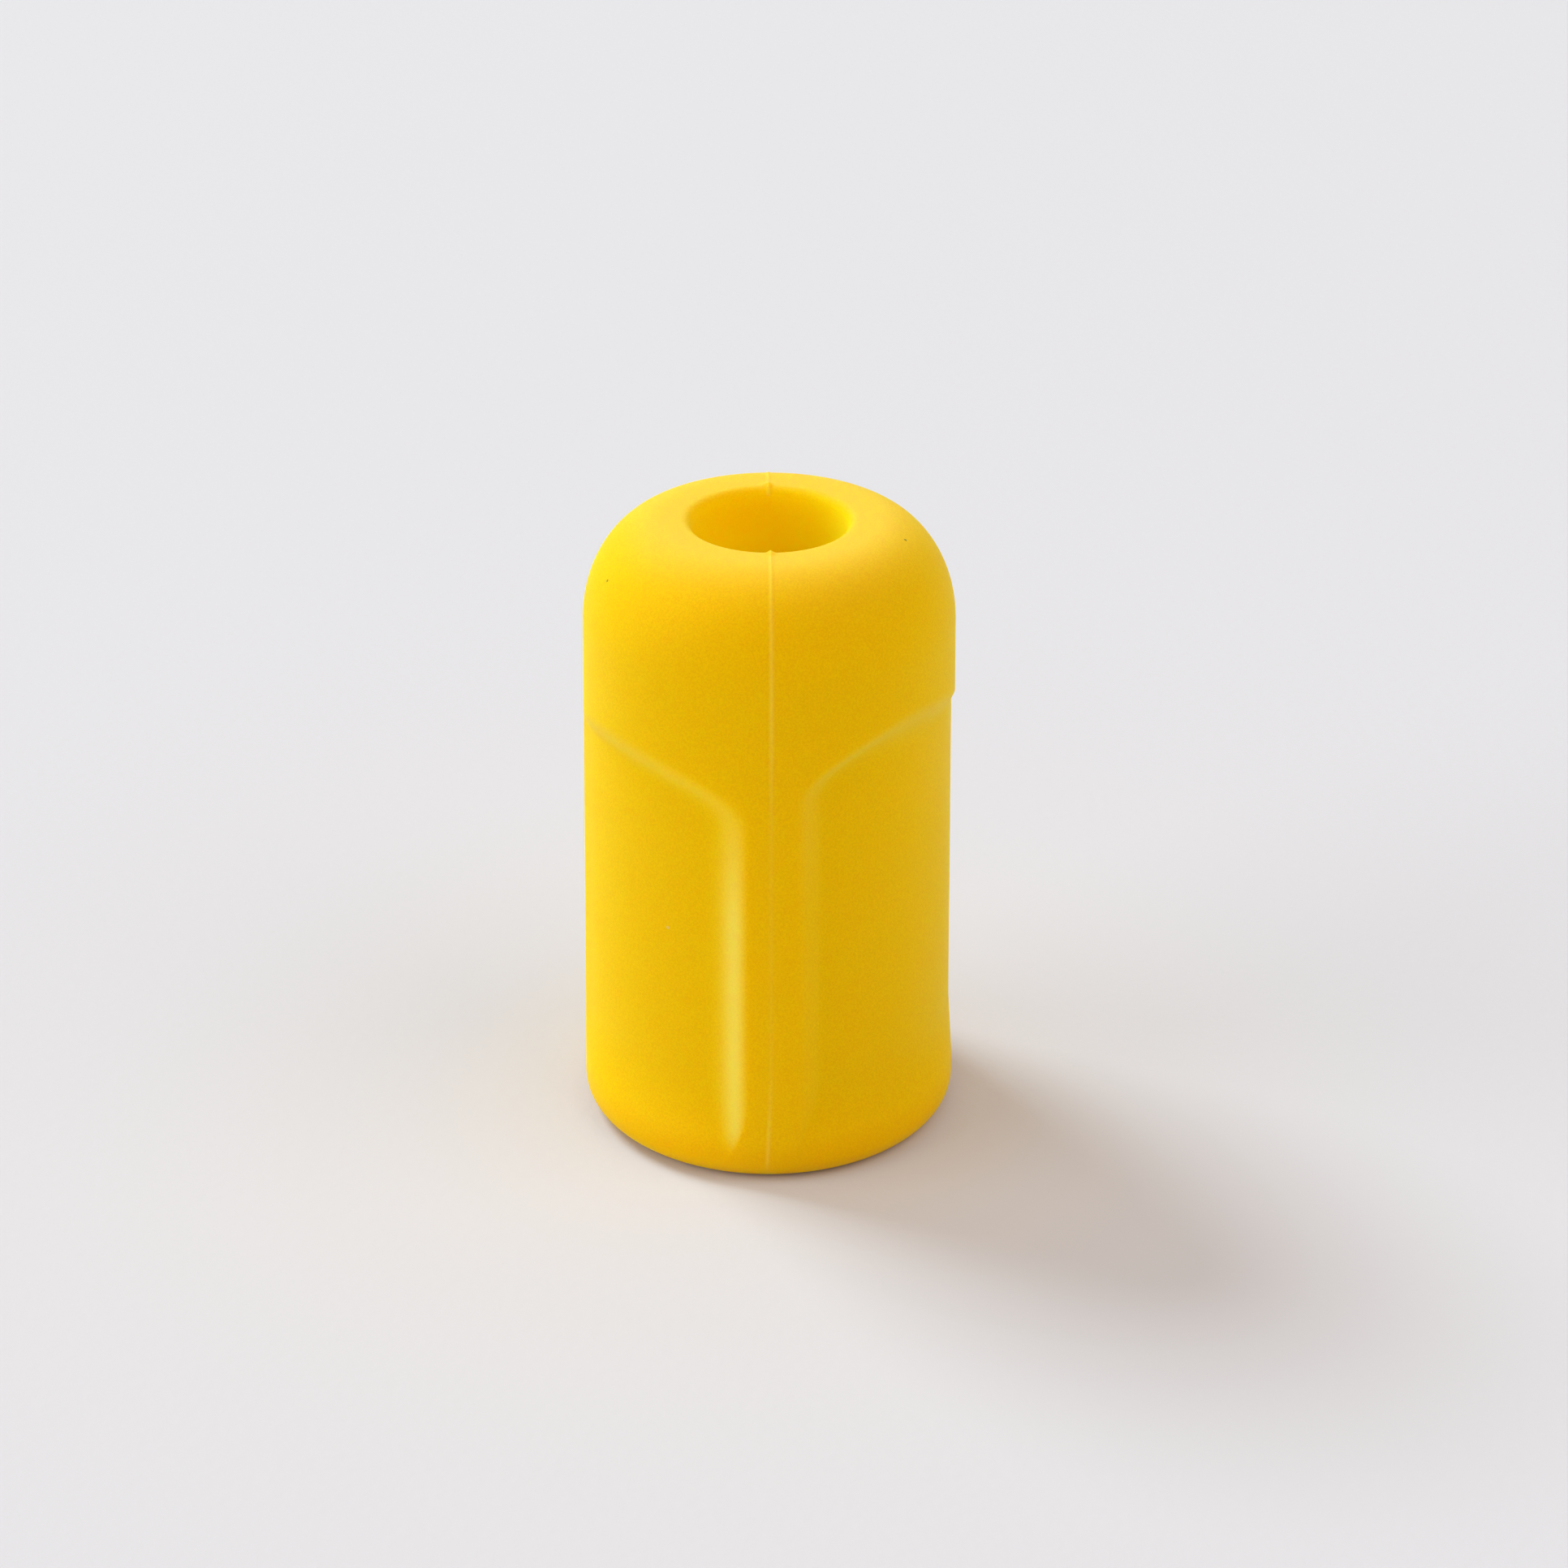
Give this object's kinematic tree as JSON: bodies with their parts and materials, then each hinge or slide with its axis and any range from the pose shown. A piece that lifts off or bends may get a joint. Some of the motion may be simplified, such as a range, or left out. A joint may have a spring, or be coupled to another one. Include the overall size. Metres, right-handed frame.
{
  "type": "pencil grip",
  "caption": "Soft one-piece pencil grip: a domed sleeve with a round through bore, and a thumb scoop and an index finger scoop on either side of a front rib.",
  "frame": {"origin": "centre of the foot face, on the bore's axis", "axes": "+Z along the bore, from the foot to the domed nose; -Y towards the rib between the scoops; +X towards the index finger scoop"},
  "size_m": [0.02, 0.02, 0.0337],
  "materials": {
    "grip_elastomer": "matte moulded elastomer"
  },
  "bodies": {
    "root": {"grip_body": "grip_elastomer"}
  },
  "joints": []
}
